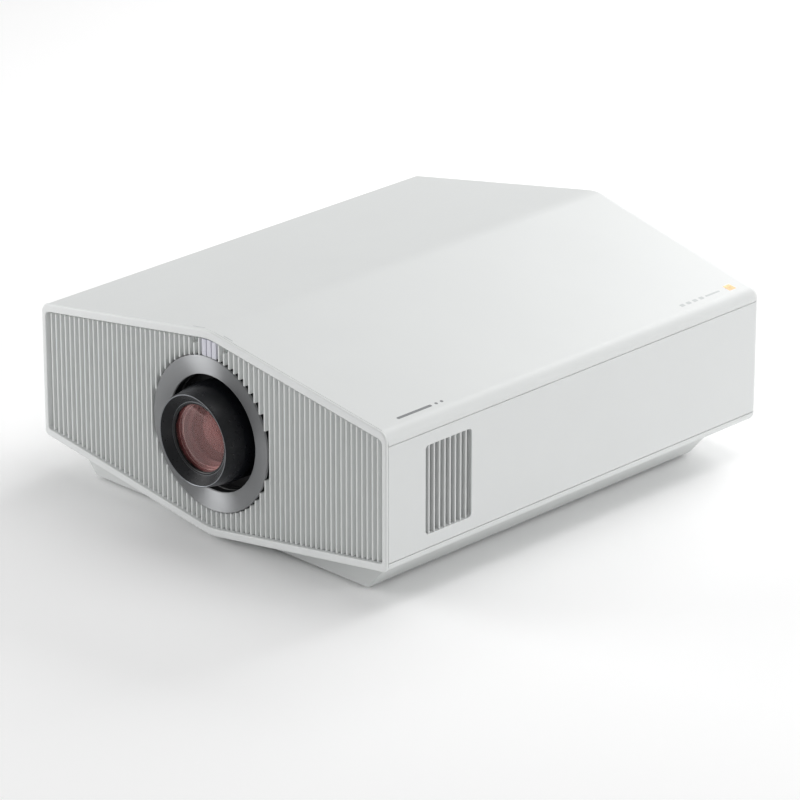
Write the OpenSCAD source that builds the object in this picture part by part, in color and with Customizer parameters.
// Home cinema projector with a central motorised lens, a hexagonal case and a finned front.
// The x axis runs to the right, y from front to back and z up, in millimetres.
// The origin is at floor level under the middle of the whole object.
// Inside each module y is counted from the bezel's face, and at_front() moves it into place.

/* [Case] */
// Width across the side panels
body_w = 460; // [440:5:480]
// Depth from the bezel's face to the rear corners
side_depth = 508; // [490:2:520]
// Depth from the bezel's face to the point of the rear panel
ridge_depth = 533; // [525:1:545]
// Height of the roof's ridge above the floor
ridge_h = 210; // [206:1:216]
// Height at which the roof would meet the side panels without its rounding
eave_h = 174; // [170:1:178]
// Height of the keel under the middle of the belly
keel_h = 4.3; // [4:0.1:6]
// Height at which the belly would meet the side panels without its rounding
chine_h = 39.7; // [36:0.1:44]
// Height of the seam between the roof and the side panels
upper_seam_h = 161.5; // [156:0.5:163]
// Height of the seam between the side panels and the belly
lower_seam_h = 47.5; // [46.5:0.5:50]
// Thickness of the case's walls
wall = 2.6; // [2:0.1:3]
// Width of the seams between the case's pieces
seam = 0.5; // [0.3:0.1:0.8]

/* [Front] */
// Depth of the bezel's face ring
bezel_depth = 2.5; // [2:0.1:4]
// Width of the bezel beside the grille
bezel_side = 5.5; // [5:0.1:8]
// Height of the bezel above the grille
bezel_top = 8.1; // [7:0.1:10]
// Height of the bezel below the grille
bezel_bottom = 7.6; // [7:0.1:10]
// Distance between two fins of the grille
fin_pitch = 6.6; // [6.4:0.1:6.7]
// Width of a fin
fin_w = 2; // [1.6:0.1:2.4]
// Depth of the grooves between the fins
fin_depth = 5; // [4:0.5:6]
// Outer radius of the metal ring around the lens
ring_r = 75.8; // [74:0.1:77]
// Inner radius of the metal ring around the lens
ring_bore_r = 57.3; // [57.1:0.1:58]

/* [Side vents] */
// Length of a side vent along the case
vent_len = 59.4; // [50:0.2:62]
// Height of a side vent
vent_h = 87.5; // [70:0.5:90]
// Depth of the vent's middle behind the bezel's face
vent_y = 80.3; // [78:0.1:90]

/* [Lens] */
// Height of the optical axis above the floor
axis_h = 106.5; // [105:0.5:108]
// How far the barrel stands in front of the bezel's face
lens_proud = 21; // [18:0.5:24]
// Outer radius of the barrel's rim
rim_r = 44.65; // [43:0.05:46]
// Outer radius of the barrel where it enters the case
barrel_r = 48.6; // [47:0.1:49]
// Radius of the front glass
glass_r = 33.6; // [32:0.1:34]
// Teeth on the focus ring and on the zoom ring
ring_teeth = 88; // [88:1:88]
// Teeth on the motors' pinions
pinion_teeth = 16; // [16:1:16]

/* [Plinth and feet] */
// Height of the plinth's underside above the floor
plinth_h = 3; // [2.5:0.1:4]
// Half of the plinth's width at its underside
plinth_half_w = 184; // [178:1:188]
// Depth of the plinth's front wall behind the bezel's face
plinth_front = 23; // [18:1:28]
// Depth of the plinth's rear wall behind the bezel's face
plinth_rear = 465; // [450:1:475]
// Distance between the ceiling mount's threads from left to right
mount_dx = 240; // [200:5:260]
// Distance between the ceiling mount's threads from front to back
mount_dy = 200; // [160:5:220]

/* [Hidden] */

$fn = 64;
eps = 0.01;
clear = 0.05;
half_w = body_w / 2;
roof_slope = (ridge_h - eave_h) / half_w;
belly_slope = (chine_h - keel_h) / half_w;
ridge_r = 60;
eave_r = 10;
chine_r = 6;
rear_corner_r = 8;
rear_slope = (ridge_depth - side_depth) / half_w;
rear_point = ridge_depth - ridge_r * (1 / cos(atan(rear_slope)) - 1);
front_y = -(rear_point - lens_proud) / 2;

// Every module draws from the bezel's face and this moves it to the shared origin
module at_front() {
    translate([0, front_y, 0]) children();
}

// A shape on the lens axis, drawn along +z and turned to run along +y from the depth y
module on_axis(y = 0) {
    translate([0, y, axis_h]) rotate([-90, 0, 0]) children();
}

// A flat outline of x and z, extruded from depth y0 to depth y1
module along_y(y0, y1) {
    translate([0, y1, 0]) rotate([90, 0, 0]) linear_extrude(y1 - y0) children();
}

// A box from its lowest corner to its highest corner
module block(low, high) {
    translate(low) cube(high - low);
}

function unit(v) = v / norm(v);

// The points of one corner b, between a and c, rounded to the radius r
function corner_arc(a, b, c, r, n) =
    let (
        u = unit(a - b),
        v = unit(c - b),
        half = acos(u * v) / 2,
        mid = b + unit(u + v) * r / sin(half),
        p = b + u * r / tan(half) - mid,
        q = b + v * r / tan(half) - mid,
        start = atan2(p.y, p.x),
        turn = atan2(p.x * q.y - p.y * q.x, p * q)
    )
    [for (k = [0:n]) mid + r * [cos(start + turn * k / n), sin(start + turn * k / n)]];

// The points of a closed outline with each corner rounded to its own radius
function rounded(points, radii, n = 8) =
    let (last = len(points))
    [for (i = [0:last - 1])
        each radii[i] <= 0 ? [points[i]]
            : corner_arc(points[(i + last - 1) % last], points[i], points[(i + 1) % last], radii[i], n)];

// Corners of the case's hexagonal section, with its roof, sides and belly moved inwards
function hexagon(top, side, bottom) =
    let (x = half_w - side)
    [[0, ridge_h - top], [-x, ridge_h - top - roof_slope * x], [-x, keel_h + bottom + belly_slope * x],
        [0, keel_h + bottom], [x, keel_h + bottom + belly_slope * x],
        [x, ridge_h - top - roof_slope * x]];

// The case's section, moved inwards by d all round
function section(d) =
    let (eave = max(eave_r - d, 1), chine = max(chine_r - d, 1))
    rounded(hexagon(d / cos(atan(roof_slope)), d, d / cos(atan(belly_slope))),
        [ridge_r, eave, chine, ridge_r, chine, eave]);

// The opening of the bezel, moved inwards by d all round
function opening(d) =
    rounded(hexagon(bezel_top + d, bezel_side + d, bezel_bottom + d),
        [ridge_r, 6, 4, ridge_r, 4, 6]);

// The case's plan from the depth y0, moved inwards by d at the sides and the rear
function plan(d, y0) =
    let (x = half_w - d, back = ridge_depth - d / cos(atan(rear_slope)),
        corner = max(rear_corner_r - d, 1))
    rounded([[-x, y0], [x, y0], [x, back - rear_slope * x], [0, back], [-x, back - rear_slope * x]],
        [0, 0, corner, ridge_r, corner]);

// The case's solid form, moved inwards by d, between two heights
module body_form(d, y0, z0 = -10, z1 = 220) {
    intersection() {
        along_y(y0, ridge_depth + 10) polygon(section(d));
        translate([0, 0, z0]) linear_extrude(z1 - z0) polygon(plan(d, y0));
    }
}

// The case's wall between two heights, open at the front
module shell(z0, z1, outer = 0, inner = wall) {
    difference() {
        body_form(outer, bezel_depth + seam, z0, z1);
        body_form(inner, 0, z0 - 1, z1 + 1);
    }
}

// A rectangle with round corners, centred on the origin
module round_rect(w, h, r) {
    polygon(rounded([[w / 2, h / 2], [-w / 2, h / 2], [-w / 2, -h / 2], [w / 2, -h / 2]],
        [r, r, r, r], 6));
}

// A flat outline of y and z, extruded along x from x0 to x1
module along_x(x0, x1) {
    translate([x0, 0, 0]) rotate([90, 0, 90]) linear_extrude(x1 - x0) children();
}

// A tube along +z
module tube(r_out, r_in, h) {
    difference() {
        cylinder(r = r_out, h = h);
        translate([0, 0, -1]) cylinder(r = r_in, h = h + 2);
    }
}

// A round hole of length h along +z, cut a little past both ends
module hole(r, h) {
    translate([0, 0, -1]) cylinder(r = r, h = h + 2);
}

// ---- Case ----

module top_cover() {
    color("#eceeed") at_front() shell(upper_seam_h + seam / 2, 220);
}

function belly_h(x) = keel_h + belly_slope * abs(x);

side_x = 216;
vent_z = (upper_seam_h + lower_seam_h) / 2;
vent_r = 4;
slat_pitch = 6.85;
slat_w = 2.1;
slat_count = 8;

// One side panel on the right with its rear corner, before its openings
module side_plate() {
    intersection() {
        shell(lower_seam_h + seam / 2, upper_seam_h - seam / 2);
        block([side_x, 0, 0], [half_w + 1, ridge_depth, 220]);
    }
}

module vent_hole() {
    along_x(half_w - 20, half_w + 1) translate([vent_y, vent_z]) round_rect(vent_len, vent_h, vent_r);
}

module side_panel_right() {
    color("#dfe2e2") at_front() difference() {
        side_plate();
        vent_hole();
    }
}

terminal_y = 404;
terminal_z = 88;
terminal_w = 136;
terminal_h = 54;
terminal_x = -221;
button_z = 138;
power_y = 352;
input_y = 372;
menu_y = 392;
button_r = 5;

module side_panel_left() {
    color("#dfe2e2") at_front() difference() {
        mirror([1, 0, 0]) side_plate();
        mirror([1, 0, 0]) vent_hole();
        along_x(-half_w - 1, -half_w + wall + 1) translate([terminal_y, terminal_z])
            round_rect(terminal_w, terminal_h, 4);
        for (y = [power_y, input_y, menu_y])
            translate([-half_w - 1, y, button_z]) rotate([0, 90, 0])
                cylinder(r = button_r + 0.4, h = wall + 2);
    }
}

// The louvre of one side vent: a frame behind the panel and a row of upright slats
module louvre() {
    difference() {
        along_x(half_w - 8, half_w - wall - 0.2) translate([vent_y, vent_z])
            round_rect(vent_len + 8, vent_h + 8, vent_r + 4);
        along_x(half_w - 20, half_w + 1) translate([vent_y, vent_z])
            round_rect(vent_len, vent_h, vent_r);
    }
    for (k = [0:slat_count - 1]) {
        y = vent_y + (k - (slat_count - 1) / 2) * slat_pitch;
        block([half_w - 7.5, y - slat_w / 2, vent_z - vent_h / 2 - 1],
            [half_w - wall - 0.2, y + slat_w / 2, vent_z + vent_h / 2 + 1]);
        block([half_w - wall - 0.2 - eps, y - slat_w / 2, vent_z - vent_h / 2 + 0.3],
            [half_w - 1.2, y + slat_w / 2, vent_z + vent_h / 2 - 0.3]);
    }
}

module vent_louvres() {
    color("#d6d9d9") at_front() {
        louvre();
        mirror([1, 0, 0]) louvre();
    }
}

cover_half_w = 196;
cover_z0 = 58;
cover_z1 = 151;
cover_gap = 0.5;

module rear_panel() {
    color("#dfe2e2") at_front() difference() {
        shell(lower_seam_h + seam / 2, upper_seam_h - seam / 2);
        both_sides() block([side_x - seam, 0, 0], [half_w + 1, ridge_depth + 10, 220]);
        block([-cover_half_w, 400, cover_z0], [cover_half_w, ridge_depth + 10, cover_z1]);
    }
}

slot_pitch = 8;
slot_w = 4.2;
slot_count = 23;

module filter_cover() {
    color("#d6d9d9") at_front() difference() {
        intersection() {
            shell(cover_z0 + cover_gap, cover_z1 - cover_gap);
            block([-cover_half_w + cover_gap, 400, 0], [cover_half_w - cover_gap, 600, 220]);
        }
        for (k = [-slot_count:slot_count])
            block([k * slot_pitch - slot_w / 2, 400, cover_z0 + 8],
                [k * slot_pitch + slot_w / 2, 600, cover_z1 - 8]);
    }
}

module air_filter() {
    color("#4a4c4e") at_front() intersection() {
        shell(cover_z0 + 2, cover_z1 - 2, wall + 3, wall + 11);
        block([-cover_half_w + 4, 400, 0], [cover_half_w - 4, 600, 220]);
    }
}

chassis_z = 44;
chassis_t = 2;
post_spots = [[100, 180], [100, 440], [205, 40], [205, 300], [205, 460]];
post_r = 1.6;
screw_x = 160;
screw_ys = [130, 250, 370];
screw_r = 2;
screw_seat = 7;

// Both mirror images of a shape, left and right
module both_sides() {
    children();
    mirror([1, 0, 0]) children();
}

module bottom_case() {
    color("#e2e5e4") at_front() difference() {
        union() {
            shell(-10, lower_seam_h - seam / 2);
            both_sides() for (p = post_spots)
                translate([p.x, p.y, belly_h(p.x) + 1.5])
                    cylinder(r = 5, h = chassis_z - belly_h(p.x) - 1.5);
            both_sides() for (y = screw_ys)
                translate([screw_x, y, belly_h(screw_x) + 1.5]) cylinder(r = 5, h = 12);
        }
        both_sides() for (p = post_spots)
            translate([p.x, p.y, chassis_z - 10]) cylinder(r = post_r, h = 20);
        both_sides() for (y = screw_ys)
            translate([screw_x, y, belly_h(screw_x) - 5]) cylinder(r = screw_r + clear, h = 14);
    }
}

plinth_flare = 0.73;
plinth_wall = 3;
foot_x = 150;
foot_y = 62;
foot_pocket_r = 18;
foot_pocket_h = 11;
stud_r = 4;
thread_r = 2.5;
insert_h = 10;

// Section of the plinth, moved inwards by d, up to the height h
function plinth_section(d, h) =
    let (w = plinth_half_w - d / 2, z = plinth_h + d, top = w + plinth_flare * (h - z))
    rounded([[-w, z], [w, z], [top, h], [-top, h]], [4, 4, 0, 0], 6);

module mount_spots() {
    for (x = [-mount_dx / 2, mount_dx / 2], y = [-mount_dy / 2, mount_dy / 2])
        translate([x, mount_y + y, plinth_h]) children();
}
mount_y = 256;

module plinth() {
    color("#d9dcdb") at_front() difference() {
        union() {
            difference() {
                along_y(plinth_front, plinth_rear) polygon(plinth_section(0, 60));
                along_y(plinth_front + plinth_wall, plinth_rear - plinth_wall)
                    polygon(plinth_section(plinth_wall, 80));
            }
            both_sides() translate([foot_x, foot_y, plinth_h]) {
                cylinder(r = foot_pocket_r + 3, h = foot_pocket_h + 3);
                cylinder(r = 8, h = 22.5);
            }
            mount_spots() cylinder(r = 8, h = insert_h + 3);
            both_sides() for (y = screw_ys)
                translate([screw_x, y, plinth_h]) cylinder(r = 7, h = 40);
        }
        body_form(-0.05, 0);
        both_sides() translate([foot_x, foot_y, 0]) {
            cylinder(r = foot_pocket_r, h = plinth_h + foot_pocket_h);
            cylinder(r = stud_r + clear, h = 60);
        }
        mount_spots() translate([0, 0, -1]) cylinder(r = thread_r, h = insert_h + 1);
        both_sides() for (y = screw_ys) translate([screw_x, y, -1]) {
            cylinder(r = 4.4, h = screw_seat + 1);
            cylinder(r = screw_r + 0.3, h = 60);
        }
    }
}

// Screws that hold the plinth on the belly, and the chassis on the belly's posts
module screws() {
    color("#3c3e40") at_front() both_sides() {
        for (y = screw_ys) translate([screw_x, y, screw_seat]) {
            translate([0, 0, -2.4]) cylinder(r = 4, h = 2.4);
            translate([0, 0, -eps]) cylinder(r = screw_r, h = belly_h(screw_x) + 8 - screw_seat);
        }
        for (p = post_spots) translate([p.x, p.y, frame_foot]) {
            cylinder(r = 3.2, h = 2);
            translate([0, 0, -10]) cylinder(r = post_r - 0.1, h = 10 + eps);
        }
    }
}

// ---- Front ----

module front_bezel() {
    color("#f2f4f3") at_front() difference() {
        union() {
            along_y(0, bezel_depth) polygon(section(0));
            along_y(bezel_depth - eps, 9) polygon(section(wall + 0.3));
        }
        along_y(-1, 20) polygon(opening(0));
    }
}

fin_front = 1.2;
fin_count = 33;
grille_back = fin_front + fin_depth + 2;
grille_gap = 0.9;
ring_gap = 0.8;
window_half = 1.5 * fin_pitch;
led_fin = 3;

// Plan of the fins and of the plate behind them
function comb_points(first, last) =
    let (r = fin_w / 2, back = fin_front + fin_depth)
    concat(
        [for (k = [first:last]) each [
            [k * fin_pitch - r, back], [k * fin_pitch - r, fin_front + 0.5],
            [k * fin_pitch - r / 2, fin_front], [k * fin_pitch + r / 2, fin_front],
            [k * fin_pitch + r, fin_front + 0.5], [k * fin_pitch + r, back]]],
        [[(last + 0.5) * fin_pitch, back], [(last + 0.5) * fin_pitch, grille_back],
            [(first - 0.5) * fin_pitch, grille_back], [(first - 0.5) * fin_pitch, back]]);

// The round opening for the lens ring, in the fins and in the plate behind them
module lens_hole(r) {
    on_axis(-5) cylinder(r = r, h = 30);
}

slot_rows = [[60, 86], [90, 122], [126, 152]];

module front_grille() {
    color("#dcdfde") at_front() difference() {
        intersection() {
            linear_extrude(220) polygon(comb_points(-fin_count, fin_count));
            along_y(0, 20) polygon(opening(grille_gap));
        }
        lens_hole(ring_r + ring_gap);
        block([-window_half, -5, axis_h], [window_half, 20, 230]);
        both_sides() block([(led_fin - 0.5) * fin_pitch, -5, 194 - roof_slope * led_fin * fin_pitch],
            [(led_fin + 0.5) * fin_pitch, fin_front + fin_depth, 230]);
        both_sides() for (k = [17:31], row = slot_rows)
            block([(k + 0.5) * fin_pitch - 1.9, 0, row[0]], [(k + 0.5) * fin_pitch + 1.9, 20, row[1]]);
    }
}

module ir_window() {
    color("#b9b4cf", 0.8) at_front() difference() {
        intersection() {
            linear_extrude(220) polygon(comb_points(-1, 1));
            along_y(0, 20) polygon(opening(grille_gap));
            block([-window_half + 0.2, 0, axis_h], [window_half - 0.2, 20, 230]);
        }
        lens_hole(ring_r + ring_gap);
    }
}

module indicator_lights() {
    color("#eef3f0", 0.8) at_front() both_sides()
        block([led_fin * fin_pitch - 1.2, 2.4, 195 - roof_slope * led_fin * fin_pitch],
            [led_fin * fin_pitch + 1.2, fin_front + fin_depth, 199.5 - roof_slope * led_fin * fin_pitch]);
}

ring_front = 1.2;
ring_dish = 2.8;

module lens_trim_ring() {
    color("#a9adb0") at_front() on_axis() rotate_extrude()
        polygon([[ring_bore_r, ring_front + ring_dish], [ring_r - 0.4, ring_front],
            [ring_r, ring_front + 0.4], [ring_r, ring_front + 2.4],
            [ring_bore_r, ring_front + ring_dish + 2]]);
}

tube_r = 57.5;
tube_end = 23.8;

module recess_tube() {
    color("#1d1e20") at_front() on_axis() rotate_extrude()
        polygon([[tube_r, ring_front + ring_dish + 2], [tube_r + 2, ring_front + ring_dish + 2],
            [tube_r + 2, grille_back],
            [82, grille_back], [82, grille_back + 2], [tube_r + 2, grille_back + 2],
            [tube_r + 2, tube_end], [tube_r, tube_end]]);
}

// ---- Lens: these pieces move together with the lens shift ----

hood_end = 24.5;
skirt_end = 25.7;
seat_y = -10.6;
retainer_r = 35.2;
bore_r = 41;
tube_outer_r = 44;

// A small step of the hood's ribbed cone, from the rim inwards
cone_steps = 8;
function cone_points() =
    [for (k = [0:cone_steps - 1]) each [
        [rim_r - 1.3 - k * (rim_r - 1.3 - retainer_r) / cone_steps, -lens_proud + 0.3 + k],
        [rim_r - 1.3 - (k + 0.8) * (rim_r - 1.3 - retainer_r) / cone_steps, -lens_proud + 0.3 + k]]];

module lens_hood() {
    color("#1f2123") at_front() on_axis() rotate_extrude()
        polygon(concat(
            [[retainer_r, -8.4], [glass_r - 0.15, -6.4], [glass_r - 0.15, -5], [bore_r, -2],
                [bore_r, hood_end], [barrel_r, hood_end],
                [barrel_r, 1], [rim_r + 0.6, -lens_proud + 3], [rim_r, -lens_proud + 0.5],
                [rim_r - 0.5, -lens_proud], [rim_r - 1, -lens_proud]],
            cone_points(), [[retainer_r, -lens_proud + 0.3 + cone_steps]]));
}

module lens_skirt() {
    color("#151617") at_front() on_axis(hood_end) tube(66, bore_r, skirt_end - hood_end);
}

module front_retainer() {
    color("#3a3d40") at_front() on_axis() rotate_extrude()
        polygon([[retainer_r - clear, -12.6], [retainer_r - clear, seat_y], [glass_r - 0.8, seat_y],
            [glass_r - 0.8, -11.8], [glass_r - 0.2, -12.6]]);
}

// Section of a lens between two spherical faces: y and curvature of each face, up to the radius r
function lens_points(y1, c1, y2, c2, r, n = 8) =
    let (sag1 = c1 - sign(c1) * sqrt(c1 * c1 - r * r), sag2 = c2 - sign(c2) * sqrt(c2 * c2 - r * r))
    concat(
        [for (k = [0:n]) let (q = r * k / n) [q, y1 + c1 - sign(c1) * sqrt(c1 * c1 - q * q)]],
        [for (k = [n:-1:0]) let (q = r * k / n) [q, y2 + c2 - sign(c2) * sqrt(c2 * c2 - q * q)]]);

front_vertex = -15.4;

module front_element() {
    color("#a0555f", 0.5) at_front() on_axis() rotate_extrude()
        polygon(lens_points(front_vertex, 112, -7.4, 300, glass_r - 0.2));
}

// Toothed outline with trapezoid teeth: outer and root radius, half angles of tip and root
function gear_points(teeth, r_tip, r_root, tip, root, first = 0) =
    [for (k = [0:teeth - 1]) let (a = first + 360 * k / teeth) each [
        r_root * [cos(a - root), sin(a - root)], r_tip * [cos(a - tip), sin(a - tip)],
        r_tip * [cos(a + tip), sin(a + tip)], r_root * [cos(a + root), sin(a + root)]]];

gear_module = 1.25;
ring_pitch_r = ring_teeth * gear_module / 2;
pinion_pitch_r = pinion_teeth * gear_module / 2;
gear_distance = ring_pitch_r + pinion_pitch_r;
addendum = 0.85 * gear_module;
dedendum = 1.2 * gear_module;
focus_angle = 45;
zoom_angle = 135;
focus_y = 62;
zoom_y = 108;
ring_w = 10;

module gear_ring(mesh_angle) {
    linear_extrude(ring_w) difference() {
        polygon(gear_points(ring_teeth, ring_pitch_r + addendum, ring_pitch_r - dedendum,
            0.5, 1.25, mesh_angle + 180 / ring_teeth));
        circle(r = tube_outer_r + clear);
    }
}

module pinion(mesh_angle) {
    difference() {
        union() {
            linear_extrude(ring_w + 2) polygon(gear_points(pinion_teeth, pinion_pitch_r + addendum,
                pinion_pitch_r - dedendum, 2.6, 7.4, mesh_angle + 180));
            cylinder(r = 4, h = ring_w + 3);
        }
        hole(1.5 + clear, ring_w + 3);
    }
}

// The lens drives are drawn with angles counted from +x towards +z, seen from the front
module facing_front(y) {
    translate([0, y, axis_h]) rotate([90, 0, 0]) children();
}

module focus_ring() {
    color("#2f3133") at_front() facing_front(focus_y + ring_w) gear_ring(focus_angle);
}

module zoom_ring() {
    color("#2f3133") at_front() facing_front(zoom_y + ring_w) gear_ring(zoom_angle);
}

module at_pinion(angle) {
    rotate([0, 0, angle]) translate([gear_distance, 0, 0]) rotate([0, 0, -angle]) children();
}

module focus_pinion() {
    color("#e8e4d8") at_front() facing_front(focus_y + ring_w + 1)
        at_pinion(focus_angle) pinion(focus_angle);
}

module zoom_pinion() {
    color("#e8e4d8") at_front() facing_front(zoom_y + ring_w + 1)
        at_pinion(zoom_angle) pinion(zoom_angle);
}

flange_y = 144;
collar_r = 47;

module lens_tube() {
    color("#2a2c2e") at_front() difference() {
        union() {
            on_axis(skirt_end) cylinder(r = barrel_r, h = 6);
            on_axis(skirt_end) cylinder(r = tube_outer_r, h = flange_y + 6 - skirt_end);
            for (y = [focus_y - 4.3, focus_y + ring_w + 0.3, zoom_y - 4.3, zoom_y + ring_w + 0.3])
                on_axis(y) cylinder(r = collar_r, h = 4);
            on_axis(flange_y) cylinder(r = 52, h = 6);
            facing_front(focus_y + ring_w + 8.5) motor_arm(focus_angle);
            facing_front(zoom_y - 2.5) motor_arm(zoom_angle);
        }
        on_axis(skirt_end) hole(bore_r, flange_y - skirt_end + 1);
        on_axis(flange_y) hole(24, 20);
        facing_front(focus_y + ring_w + 8.5) at_pinion(focus_angle) hole(2, 6);
        facing_front(zoom_y - 2.5) at_pinion(zoom_angle) hole(2, 6);
    }
}

// The arm that carries a drive motor beside its ring
module motor_arm(angle) {
    rotate([0, 0, angle]) block([tube_outer_r - 2, -10, 0], [gear_distance + 8, 10, 3]);
}

motor_r = 9;
motor_len = 26;

// The two gear motors: a can, and a shaft that its pinion is fixed on
module lens_motors() {
    color("#8d9092") at_front() {
        facing_front(focus_y + ring_w + 8.5) at_pinion(focus_angle) {
            translate([0, 0, -motor_len]) cylinder(r = motor_r, h = motor_len);
            translate([0, 0, -1]) cylinder(r = 1.5, h = 20);
        }
        facing_front(zoom_y - 5.5) at_pinion(zoom_angle) {
            cylinder(r = motor_r, h = motor_len);
            translate([0, 0, -16]) cylinder(r = 1.5, h = 17);
        }
    }
}

cell_r = bore_r - 0.3;

// A lens cell: a ring with one glass in it, from the depth y backwards
module cell(y, front_curve, rear_curve) {
    on_axis(y) {
        tube(cell_r, 31, 14);
        rotate_extrude() polygon(lens_points(3, front_curve, 11, rear_curve, 31 + eps));
    }
}

module focus_group() {
    color("#4d5154") at_front() cell(focus_y - 2, 180, -180);
}

module zoom_group() {
    color("#4d5154") at_front() cell(zoom_y - 8, -160, 200);
}

// ---- Lens shift: two crossed carriages on rods, each with a lead screw and a motor ----

rod_r = 3;
carriage_y = flange_y + 6;
rod_y = carriage_y + 11;
plate_y = carriage_y + 16;
vertical_y = plate_y + 10;
frame_y = vertical_y + 10;
h_rod_z = 38;
h_screw_z = 28;
v_rod_x = 60;
v_screw_x = -40;
lead_r = 2.5;

// A cylinder along +x from x0 to x1 at a depth and at a height above the lens axis
module bar_x(x0, x1, y, z, r) {
    translate([x0, y, axis_h + z]) rotate([0, 90, 0]) cylinder(r = r, h = x1 - x0);
}

module horizontal_carriage() {
    color("#b4b7ba") at_front() difference() {
        union() {
            block([-54, carriage_y, axis_h - 54], [54, carriage_y + 6, axis_h + 54]);
            both_sides() for (z = [-h_rod_z, h_rod_z])
                block([16, carriage_y + 6 - eps, axis_h + z - 5.5],
                    [46, plate_y - 0.3, axis_h + z + 5.5]);
            block([28, carriage_y + 6 - eps, axis_h + h_screw_z - 3.6],
                [44, plate_y - 0.3, axis_h + h_screw_z + 4.5]);
        }
        on_axis(carriage_y) hole(24, 20);
        for (z = [-h_rod_z, h_rod_z]) bar_x(-60, 60, rod_y, z, rod_r + clear);
        bar_x(20, 60, rod_y, h_screw_z, lead_r + clear);
    }
}

module horizontal_rods() {
    color("#c9ccce") at_front() for (z = [-h_rod_z, h_rod_z]) bar_x(-69, 69, rod_y, z, rod_r);
}

module horizontal_screw() {
    color("#c9ccce") at_front() bar_x(-68, 69.7, rod_y, h_screw_z, lead_r);
}

module horizontal_motor() {
    color("#8d9092") at_front() bar_x(70, 92, rod_y, h_screw_z, 8);
}

module vertical_carriage() {
    color("#b4b7ba") at_front() difference() {
        union() {
            block([-70, plate_y, axis_h - 44], [70, plate_y + 5, axis_h + 44]);
            both_sides() {
                block([62, plate_y - 10, axis_h - h_rod_z - 5.5],
                    [70, plate_y + eps, axis_h - h_rod_z + 5.5]);
                block([62, plate_y - 10, axis_h + h_screw_z - 6],
                    [70, plate_y + eps, axis_h + h_rod_z + 5.5]);
                for (z = [-32, 32])
                    block([v_rod_x - 6, plate_y + 5 - eps, axis_h + z - 12],
                        [v_rod_x + 6, frame_y - 0.3, axis_h + z + 12]);
            }
            block([v_screw_x - 5.5, plate_y + 5 - eps, axis_h - 8],
                [v_screw_x + 5.5, frame_y - 0.3, axis_h + 8]);
        }
        on_axis(plate_y) hole(24, 20);
        for (z = [-h_rod_z, h_rod_z]) bar_x(-71, 71, rod_y, z, rod_r + 0.02);
        bar_x(-71, 71, rod_y, h_screw_z, lead_r + clear);
        both_sides() translate([v_rod_x, vertical_y, 0]) cylinder(r = rod_r + clear, h = 220);
        translate([v_screw_x, vertical_y, 0]) cylinder(r = lead_r + clear, h = 220);
    }
}

frame_foot = chassis_z + chassis_t;
frame_top = 168;

module shift_frame() {
    color("#9da0a3") at_front() difference() {
        union() {
            block([-72, frame_y, frame_foot], [72, frame_y + 4, frame_top]);
            for (z = [frame_foot, frame_top - 8])
                block([-72, frame_y - 18, z], [72, frame_y + eps, z + 8]);
        }
        on_axis(frame_y) hole(26, 10);
        both_sides() translate([v_rod_x, vertical_y, frame_foot + 2]) cylinder(r = rod_r + 0.02, h = 200);
        translate([v_screw_x, vertical_y, frame_foot + 2]) cylinder(r = lead_r + clear, h = 200);
    }
}

module vertical_rods() {
    color("#c9ccce") at_front() both_sides()
        translate([v_rod_x, vertical_y, frame_foot + 2])
            cylinder(r = rod_r, h = frame_top - frame_foot - 2);
}

module vertical_screw() {
    color("#c9ccce") at_front() translate([v_screw_x, vertical_y, frame_foot + 2.3])
        cylinder(r = lead_r, h = frame_top - frame_foot - 2.6);
}

module vertical_motor() {
    color("#8d9092") at_front() translate([v_screw_x, vertical_y, frame_top]) cylinder(r = motor_r, h = 20);
}

// ---- Light engine ----

engine_y0 = frame_y + 4;
engine_y1 = engine_y0 + 110;
engine_x = 78;
prism_y = engine_y0 + 44;
prism_w = 34;
beam_y = engine_y1 - 24;
optics_z = axis_h - prism_w / 2;

module optical_block() {
    color("#2c2e30") at_front() {
        difference() {
            block([-engine_x, engine_y0, frame_foot], [engine_x, engine_y1, 158]);
            block([-engine_x + 4, engine_y0 + 4, frame_foot + 6], [engine_x - 4, engine_y1 - 4, 160]);
            on_axis(engine_y0 - 5) cylinder(r = 24, h = 20);
            translate([-engine_x - 1, beam_y, axis_h]) rotate([0, 90, 0]) cylinder(r = 14, h = 10);
        }
        block([-13, prism_y - 13, frame_foot + 6 - eps], [13, prism_y + 13, optics_z]);
        for (x = mirror_xs) translate([x, beam_y, frame_foot + 6 - eps])
            cylinder(r = 5, h = optics_z - frame_foot - 6 + eps);
    }
}

mirror_xs = [-54, 0, 54];

// The prism that joins the three colours, and three slanted mirrors in the beam behind it
module engine_optics() {
    color("#cfe0e6", 0.6) at_front() {
        block([-prism_w / 2, prism_y - prism_w / 2, optics_z],
            [prism_w / 2, prism_y + prism_w / 2, optics_z + prism_w]);
        for (x = mirror_xs) translate([x, beam_y, optics_z]) rotate([0, 0, 45])
            block([-18, -0.8, 0], [18, 0.8, prism_w]);
    }
}

// One imaging panel with its cooling plate, standing off from a face of the prism along +y
module imaging_panel() {
    block([-14, 0, -11], [14, 4, 11]);
    block([-18, 4 - eps, -15], [18, 7, 15]);
    for (k = [0:5]) block([-17 + k * 6.4, 7 - eps, -15], [-15 + k * 6.4, 10, 15]);
}

module imaging_panels() {
    color("#6f7376") at_front() translate([0, prism_y, axis_h])
        for (angle = [-90, 0, 90]) rotate([0, 0, angle])
            translate([0, prism_w / 2 + clear, 0]) imaging_panel();
}

laser_x0 = -200;
laser_x1 = -104;
laser_y0 = engine_y0 + 22;
laser_y1 = engine_y1 - 8;
wheel_x = -152;
wheel_z = 100;
wheel_r = 34;
wheel_y = laser_y0 - 12;

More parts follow.
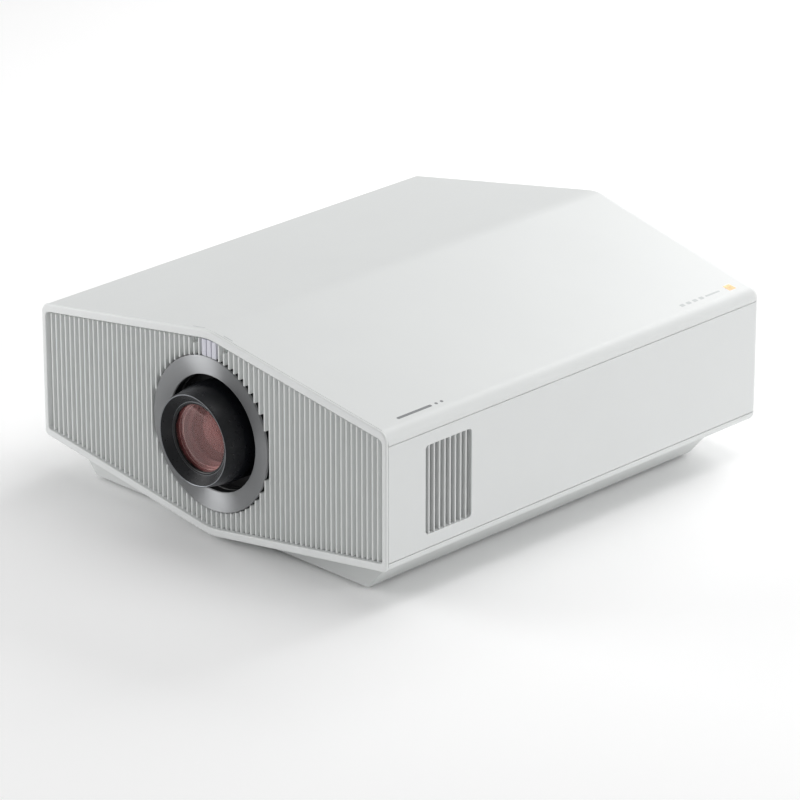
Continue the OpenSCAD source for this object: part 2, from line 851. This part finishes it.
module laser_module() {
    color("#5a5e61") at_front() difference() {
        union() {
            block([laser_x0, laser_y0, frame_foot], [laser_x1, laser_y1, 140]);
            translate([laser_x1 - 1, beam_y, axis_h]) rotate([0, 90, 0])
                cylinder(r = 17, h = -engine_x - laser_x1 + 1);
            translate([wheel_x, laser_y0 + 1, wheel_z]) rotate([90, 0, 0]) cylinder(r = 12, h = 7);
            translate([wheel_x, laser_y0, wheel_z]) rotate([90, 0, 0]) cylinder(r = 3, h = 15);
        }
        translate([laser_x1 - 30, beam_y, axis_h]) rotate([0, 90, 0]) cylinder(r = 14, h = 80);
    }
}

module phosphor_wheel() {
    color("#e3c14b") at_front()
        translate([wheel_x, wheel_y + 3, wheel_z]) rotate([90, 0, 0]) difference() {
        union() {
            cylinder(r = wheel_r, h = 1.6);
            cylinder(r = 10, h = 5);
        }
        hole(3 + clear, 5);
    }
}

sink_y0 = laser_y1 + 1;
sink_y1 = sink_y0 + 92;
sink_fins = 19;

module laser_heat_sink() {
    color("#c3c6c8") at_front() {
        block([laser_x0, sink_y0, frame_foot], [laser_x1, sink_y0 + 8, 140]);
        block([laser_x0, sink_y0, frame_foot], [laser_x1, sink_y1, frame_foot + 5]);
        for (k = [0:sink_fins - 1]) {
            x = laser_x0 + k * (laser_x1 - laser_x0 - 1.4) / (sink_fins - 1);
            block([x, sink_y0 + 8 - eps, frame_foot + 5 - eps], [x + 1.4, sink_y1, 140]);
        }
    }
}

// ---- Electronics ----

board_z = 128;

module main_board() {
    color("#1f6b45") at_front() {
        block([-88, 320, board_z], [88, 470, board_z + 1.6]);
        block([-30, 350, board_z + 1.6 - eps], [10, 390, board_z + 6]);
        block([30, 350, board_z + 1.6 - eps], [58, 378, board_z + 5]);
        block([-70, 360, board_z + 1.6 - eps], [-50, 400, board_z + 4]);
        block([-60, 430, board_z + 1.6 - eps], [60, 436, board_z + 8]);
        for (x = [-80, 80], y = [328, 462])
            translate([x, y, frame_foot]) cylinder(r = 3.5, h = board_z - frame_foot + eps);
    }
}

module power_board() {
    color("#2f7d4f") at_front() {
        block([104, 180, frame_foot + 6], [204, 430, frame_foot + 7.6]);
        block([112, 200, frame_foot + 7.6 - eps], [150, 245, frame_foot + 44]);
        block([112, 300, frame_foot + 7.6 - eps], [148, 340, frame_foot + 38]);
        for (y = [205, 240, 275])
            translate([185, y, frame_foot + 7.6 - eps]) cylinder(r = 14, h = 46);
        block([170, 320, frame_foot + 7.6 - eps], [174, 420, frame_foot + 50]);
        for (x = [110, 198], y = [186, 424]) translate([x, y, frame_foot]) cylinder(r = 3.5, h = 6 + eps);
    }
}

fan_x = 150;
fan_y = 36;
fan_w = 92;
fan_t = 25;
fan_z = 106;

module fan_frame() {
    translate([fan_x, fan_y, fan_z]) rotate([-90, 0, 0]) {
        difference() {
            translate([-fan_w / 2, -fan_w / 2, 0]) cube([fan_w, fan_w, fan_t]);
            hole(43.5, fan_t);
            for (x = [-41, 41], y = [-41, 41]) translate([x, y, 0]) hole(2.2, fan_t);
        }
        translate([0, 0, fan_t - 3]) cylinder(r = 16, h = 3);
        translate([0, 0, 8]) cylinder(r = 2, h = fan_t - 10);
        for (a = [45:90:315]) rotate([0, 0, a]) translate([15, -2, fan_t - 3]) cube([30, 4, 3]);
    }
}

module fan_frames() {
    color("#232527") at_front() {
        fan_frame();
        mirror([1, 0, 0]) fan_frame();
    }
}

// Hub and seven slanting blades, turning on the frame's pin
module impeller() {
    difference() {
        union() {
            cylinder(r = 17, h = 16);
            for (k = [0:6]) rotate([0, 0, k * 360 / 7]) translate([16, 0, 8]) rotate([38, 0, 0])
                translate([0, -9, -0.8]) cube([25.2, 18, 1.6]);
        }
        translate([0, 0, 4]) cylinder(r = 2 + clear, h = 20);
    }
}

module impeller_right() {
    color("#3a3d40") at_front() translate([fan_x, fan_y + 4, fan_z]) rotate([-90, 0, 0]) impeller();
}

module impeller_left() {
    color("#3a3d40") at_front() translate([-fan_x, fan_y + 4, fan_z]) rotate([-90, 0, 0]) impeller();
}

ledge_h = 60;

module chassis() {
    color("#b9bcbe") at_front() difference() {
        union() {
            block([-212, 20, chassis_z], [212, 485, frame_foot]);
            both_sides() {
                block([210, 20, frame_foot - eps], [212, 485, ledge_h]);
                block([fan_x - fan_w / 2, fan_y, frame_foot - eps],
                    [fan_x + fan_w / 2, fan_y + fan_t, fan_z - fan_w / 2]);
            }
        }
        block([-72, 10, chassis_z - 1], [72, frame_y - 20, ledge_h]);
        both_sides() {
            for (p = post_spots) translate([p.x, p.y, chassis_z]) hole(1.8, chassis_t);
            block([fan_x - fan_w / 2 + 3, fan_y - 1, frame_foot],
                [fan_x + fan_w / 2 - 3, fan_y + fan_t - 3, ledge_h - 3]);
        }
    }
}

// ---- Terminals and controls on the left side ----

inlet_y = terminal_y + 50;
video_ys = [terminal_y - 50, terminal_y - 26];
lan_y = terminal_y - 2;
usb_y = terminal_y + 19;
jack_ys = [terminal_y - 50, terminal_y - 38];
serial_y = terminal_y - 4;
upper_row = terminal_z + 11;
lower_row = terminal_z - 13;

// A rectangle of y and z, centred, as a hole or a socket of the left side
module side_rect(y, z, w, h, x0, x1) {
    block([x0, y - w / 2, z - h / 2], [x1, y + w / 2, z + h / 2]);
}

module terminal_plate() {
    color("#c9cccc") at_front() difference() {
        along_x(-half_w + wall + 0.2, terminal_x + 2) translate([terminal_y, terminal_z])
            round_rect(terminal_w + 8, terminal_h + 8, 6);
        along_x(-half_w, terminal_x) translate([terminal_y, terminal_z])
            round_rect(terminal_w - 3, terminal_h - 3, 3);
        for (y = video_ys) side_rect(y, upper_row, 16.4, 6.9, -half_w, 0);
        side_rect(lan_y, upper_row, 16.4, 14.4, -half_w, 0);
        side_rect(usb_y, upper_row, 14.9, 7.4, -half_w, 0);
        side_rect(serial_y, lower_row, 31.4, 12.9, -half_w, 0);
        for (y = jack_ys) translate([-half_w, y, lower_row]) rotate([0, 90, 0]) cylinder(r = 4.2, h = 30);
        side_rect(inlet_y, terminal_z, 28.4, 22.4, -half_w, 0);
    }
}

// A metal socket shell with an open front
module socket(y, z, w, h, depth) {
    difference() {
        side_rect(y, z, w, h, terminal_x - 1, terminal_x + depth);
        side_rect(y, z, w - 1.6, h - 1.6, terminal_x - 2, terminal_x + depth - 2);
    }
}

module input_sockets() {
    color("#aeb1b3") at_front() {
        for (y = video_ys) socket(y, upper_row, 16, 6.5, 13);
        socket(lan_y, upper_row, 16, 14, 13);
        socket(usb_y, upper_row, 14.5, 7, 13);
        socket(serial_y, lower_row, 31, 12.5, 10);
        for (y = jack_ys) translate([terminal_x - 1, y, lower_row]) rotate([0, 90, 0]) tube(4, 1.8, 13);
    }
}

module mains_inlet() {
    color("#1d1e1f") at_front() {
        difference() {
            side_rect(inlet_y, terminal_z, 28, 22, terminal_x - 1, terminal_x + 15);
            side_rect(inlet_y, terminal_z, 24.5, 16.5, terminal_x - 2, terminal_x + 12);
        }
        for (y = [-7, 0, 7])
            side_rect(inlet_y + y, terminal_z + (y == 0 ? 2.5 : -1.5), 2, 4,
                terminal_x + 1, terminal_x + 13);
    }
}

// A round button with a guide flange behind the side panel
module button(y) {
    color("#cfd2d2") at_front() translate([-half_w + 0.2, y, button_z]) rotate([0, 90, 0]) {
        cylinder(r = button_r, h = wall + 1);
        translate([0, 0, wall + 0.2]) cylinder(r = button_r + 1.5, h = 1.4);
        cylinder(r = 2.5, h = wall + 5);
    }
}

module power_button() {
    button(power_y);
}

module input_button() {
    button(input_y);
}

module menu_button() {
    button(menu_y);
}

// ---- Feet ----

pad_r = 14;
pad_h = 2.5;

module foot_pad(x) {
    color("#2a2b2c") at_front() translate([x, foot_y, 0]) difference() {
        rotate_extrude() polygon([[0, 0], [pad_r - 0.6, 0], [pad_r, 0.6], [pad_r, pad_h], [0, pad_h]]);
        translate([0, 0, 1]) cylinder(r = 3 + clear, h = 5);
    }
}

module foot_knob(x) {
    color("#3b3d3f") at_front() translate([x, foot_y, 0]) {
        translate([0, 0, 1.3]) cylinder(r = 3, h = 3);
        translate([0, 0, pad_h + 0.3]) cylinder(r = 15, h = 6);
        translate([0, 0, pad_h + 3]) cylinder(r = stud_r, h = 19);
    }
}

module foot_pad_left() {
    foot_pad(-foot_x);
}

module foot_pad_right() {
    foot_pad(foot_x);
}

module foot_knob_left() {
    foot_knob(-foot_x);
}

module foot_knob_right() {
    foot_knob(foot_x);
}

rear_foot_y = 425;

module rear_feet() {
    color("#2a2b2c") at_front() both_sides() translate([foot_x, rear_foot_y, 0]) rotate_extrude()
        polygon([[0, 0], [pad_r - 0.6, 0], [pad_r, 0.6], [pad_r, plinth_h], [0, plinth_h]]);
}

top_cover();
side_panel_left();
side_panel_right();
vent_louvres();
rear_panel();
filter_cover();
air_filter();
bottom_case();
plinth();
front_bezel();
front_grille();
ir_window();
indicator_lights();
lens_trim_ring();
recess_tube();
screws();
lens_hood();
lens_skirt();
front_retainer();
front_element();
lens_tube();
focus_ring();
focus_pinion();
focus_group();
zoom_ring();
zoom_pinion();
zoom_group();
lens_motors();
shift_frame();
vertical_rods();
vertical_screw();
vertical_motor();
vertical_carriage();
horizontal_rods();
horizontal_screw();
horizontal_motor();
horizontal_carriage();
optical_block();
engine_optics();
imaging_panels();
laser_module();
phosphor_wheel();
laser_heat_sink();
main_board();
power_board();
fan_frames();
impeller_left();
impeller_right();
chassis();
terminal_plate();
input_sockets();
mains_inlet();
power_button();
input_button();
menu_button();
foot_pad_left();
foot_pad_right();
foot_knob_left();
foot_knob_right();
rear_feet();
